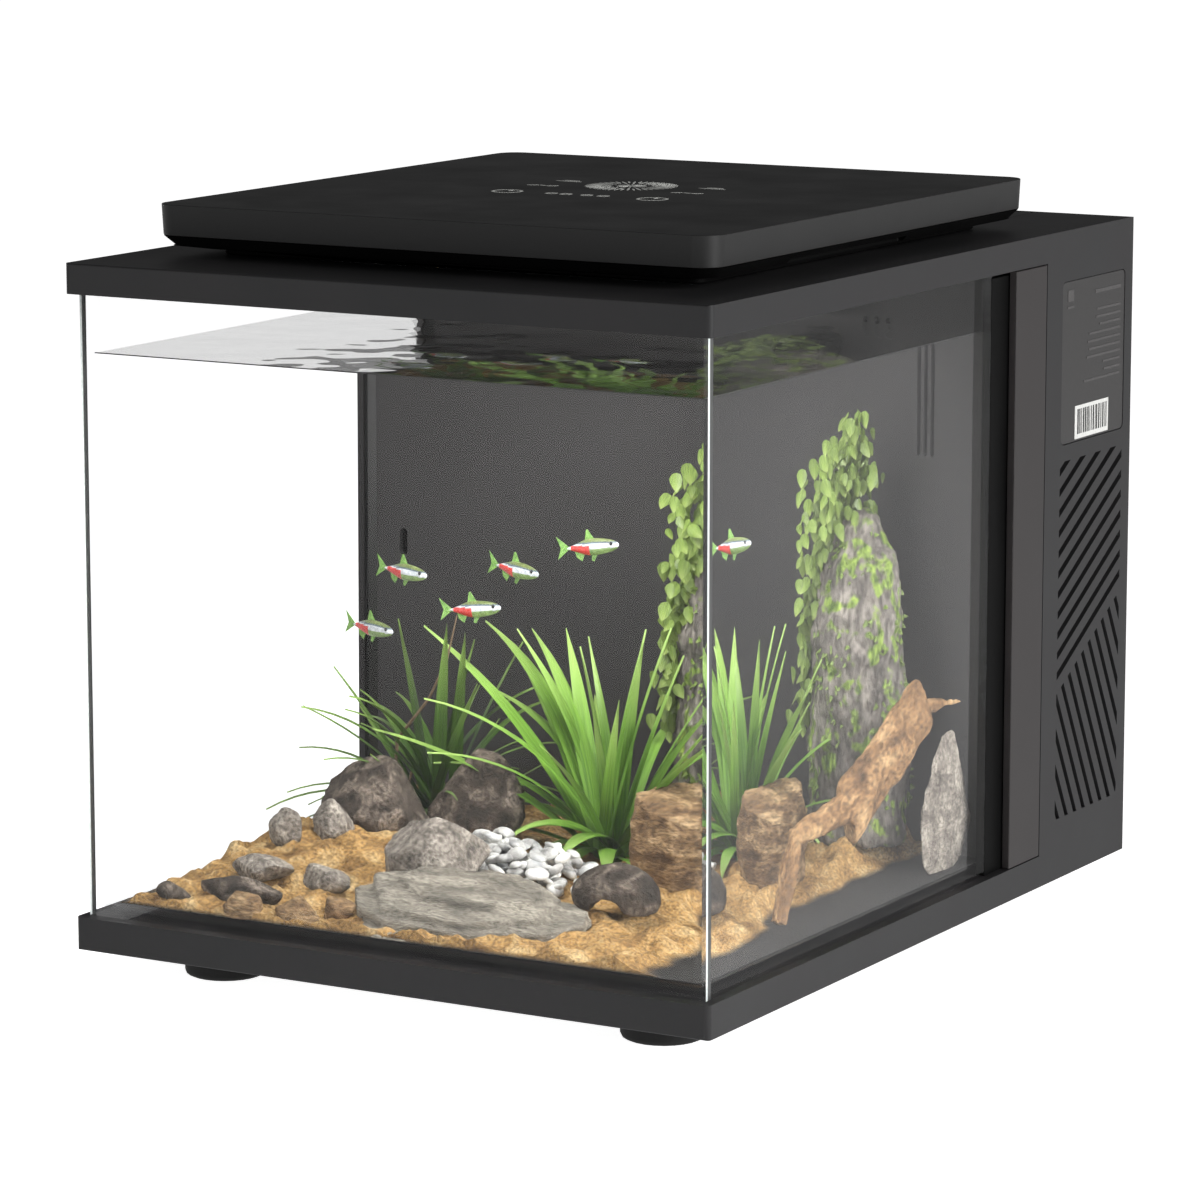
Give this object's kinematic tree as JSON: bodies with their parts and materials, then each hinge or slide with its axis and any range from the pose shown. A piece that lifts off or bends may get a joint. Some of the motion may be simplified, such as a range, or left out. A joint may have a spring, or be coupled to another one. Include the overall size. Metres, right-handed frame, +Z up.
{
  "type": "desktop aquarium",
  "caption": "Desktop glass aquarium in a black C-shaped frame with rear filter tower, vented sides, raised hinged lamp lid, round feet and a planted rock scape",
  "frame": {"origin": "on the supporting surface, under the middle of the bounding box", "axes": "+Z up, +Y towards the rear tower, +X to the right seen from the front"},
  "size_m": [0.3, 0.393, 0.3228],
  "materials": {
    "frame_abs": "charcoal moulded ABS, fine matte texture",
    "panel_abs": "charcoal moulded ABS, slightly warmer",
    "lid_abs": "near-black moulded ABS, satin",
    "inner_abs": "dark grey moulded ABS",
    "clear_glass": "clear float glass",
    "silicone": "black aquarium silicone",
    "foot_rubber": "moulded rubber",
    "steel": "stainless steel",
    "aluminium": "bare aluminium",
    "board": "circuit board with components",
    "lens": "white diffuser",
    "foam": "open-cell filter foam",
    "ceramic": "porous ceramic",
    "label": "printed label stock",
    "sand": "golden quartz sand",
    "rock": "weathered slate and river stone",
    "wood": "waterlogged driftwood",
    "leaf": "leaves"
  },
  "bodies": {
    "frame": {"main_frame": "frame_abs", "base_plate": "inner_abs", "rear_cover": "frame_abs", "side_panel_left": "panel_abs", "side_panel_right": "panel_abs", "rating_label": "label", "glass_front": "clear_glass", "glass_left": "clear_glass", "glass_right": "clear_glass", "glass_bottom": "clear_glass", "back_wall": "inner_abs", "filter_box": "inner_abs", "pump_housing": "inner_abs", "pump_cover": "inner_abs", "impeller_shaft": "steel", "outlet_pipe": "inner_abs", "prefilter_sponge": "foam", "heater": "steel", "filter_chamber": "inner_abs", "fan_frame": "frame_abs", "heat_sink": "aluminium", "control_board": "board", "dc_inlet": "inner_abs", "lid_collar": "frame_abs", "hinge_bracket": "lid_abs", "hinge_pin": "steel", "sand_bed": "sand", "slate_slab": "rock", "grey_rock": "rock", "left_rock": "rock", "log_stump": "wood", "pillar_rock": "rock", "driftwood": "wood", "sword_plant": "leaf", "fern_plant": "leaf", "ivy_plant": "leaf", "rear_cover_screw_1": "steel", "rear_cover_screw_2": "steel", "rear_cover_screw_3": "steel", "rear_cover_screw_4": "steel", "silicone_front_left": "silicone", "silicone_front_right": "silicone", "silicone_back_left": "silicone", "silicone_back_right": "silicone", "foot_front_left": "foot_rubber", "foot_front_right": "foot_rubber", "foot_rear_left": "foot_rubber", "foot_rear_right": "foot_rubber"},
    "lid": {"lid_shell": "lid_abs", "lid_base": "lid_abs", "touch_board": "board", "led_board": "aluminium", "led_lens": "lens"},
    "filter_cassette": {"cassette_cap": "lid_abs", "cassette_basket": "inner_abs", "cassette_sponge": "foam", "cassette_media": "ceramic"},
    "pump_impeller": {"impeller": "ceramic"},
    "fan_wheel": {"fan_rotor": "lid_abs"},
    "return_nozzle": {"outlet_nozzle": "lid_abs"}
  },
  "joints": [
    {"name": "lid_hinge", "type": "hinge", "parent": "frame", "child": "lid", "pos_m": [0, 0.122, 0.306], "axis": [-1, 0, 0], "range_deg": [0, 75]},
    {"name": "cassette_lift", "type": "slide", "parent": "frame", "child": "filter_cassette", "axis": [0, 0, 1], "range_m": [0, 0.1]},
    {"name": "impeller_spin", "type": "hinge", "parent": "frame", "child": "pump_impeller", "pos_m": [0.06, 0.089, 0.056], "axis": [1, 0, 0], "continuous": true},
    {"name": "fan_spin", "type": "hinge", "parent": "frame", "child": "fan_wheel", "pos_m": [0.125, 0.153, 0.096], "axis": [1, 0, 0], "continuous": true},
    {"name": "nozzle_swivel", "type": "hinge", "parent": "frame", "child": "return_nozzle", "pos_m": [0.06, 0.072, 0.276], "axis": [0, 1, 0], "range_deg": [-30, 30]}
  ]
}
